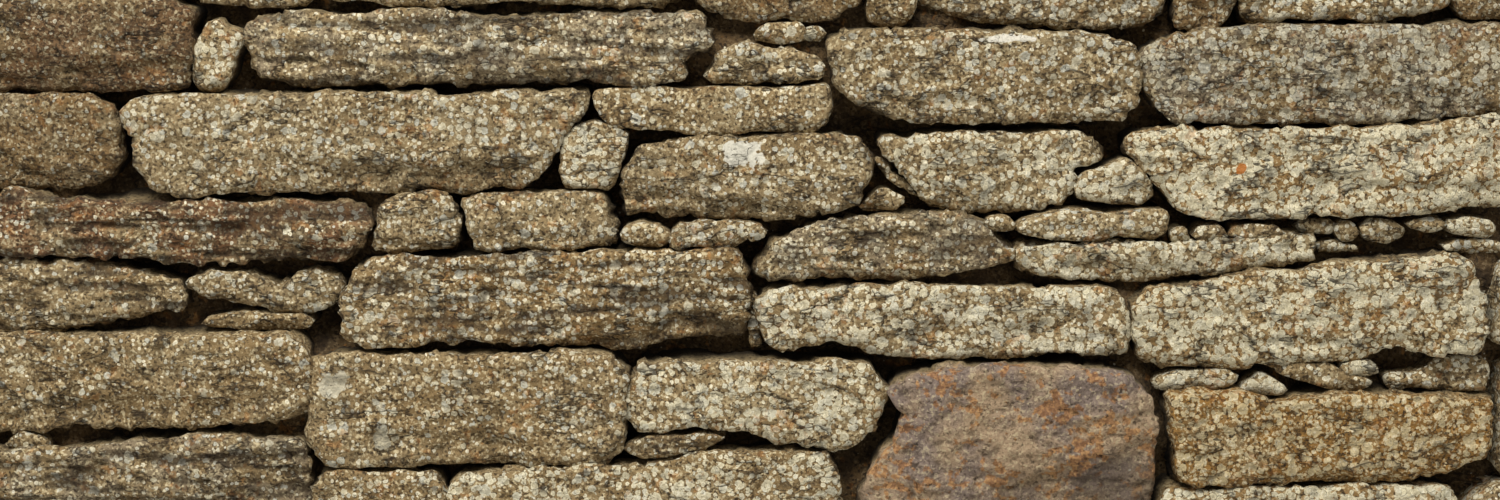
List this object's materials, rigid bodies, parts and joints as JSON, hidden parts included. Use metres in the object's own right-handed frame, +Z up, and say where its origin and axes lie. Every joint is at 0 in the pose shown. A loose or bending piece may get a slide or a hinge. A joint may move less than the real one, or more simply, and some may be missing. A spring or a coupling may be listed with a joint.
{
  "type": "dry stone wall",
  "caption": "Free-standing double dry stone wall of roughly coursed grey-brown stone, with footings, through stones, a rubble core, pins in its open joints and flat slabs on top",
  "frame": {"origin": "middle of the wall's foot, on the ground", "axes": "+X along the wall to the right seen from the front, +Y from the front face to the back face, +Z up"},
  "size_m": [2, 0.64, 1.21],
  "materials": {
    "walling_stone": "rough weathered sandstone with lichen",
    "pin_stone": "rough split sandstone with lichen",
    "cope_stone": "rough weathered slab with lichen",
    "footing_stone": "rough bare sandstone",
    "core_rubble": "packed rubble"
  },
  "bodies": {
    "root": {"back_course_a": "walling_stone", "back_course_b": "walling_stone", "back_course_c": "walling_stone", "back_course_d": "walling_stone", "back_course_e": "walling_stone", "back_course_f": "walling_stone", "back_course_g": "walling_stone", "back_course_h": "walling_stone", "back_course_i": "walling_stone", "back_course_j": "walling_stone", "back_levellers": "pin_stone", "back_pins": "pin_stone", "cope_slabs": "cope_stone", "core": "core_rubble", "cover_slabs": "cope_stone", "footings": "footing_stone", "front_course_a": "walling_stone", "front_course_b": "walling_stone", "front_course_c": "walling_stone", "front_course_d": "walling_stone", "front_course_e": "walling_stone", "front_course_f": "walling_stone", "front_course_g": "walling_stone", "front_course_h": "walling_stone", "front_course_i": "walling_stone", "front_course_j": "walling_stone", "front_levellers": "pin_stone", "front_pins": "pin_stone", "through_stones": "walling_stone"}
  },
  "joints": []
}
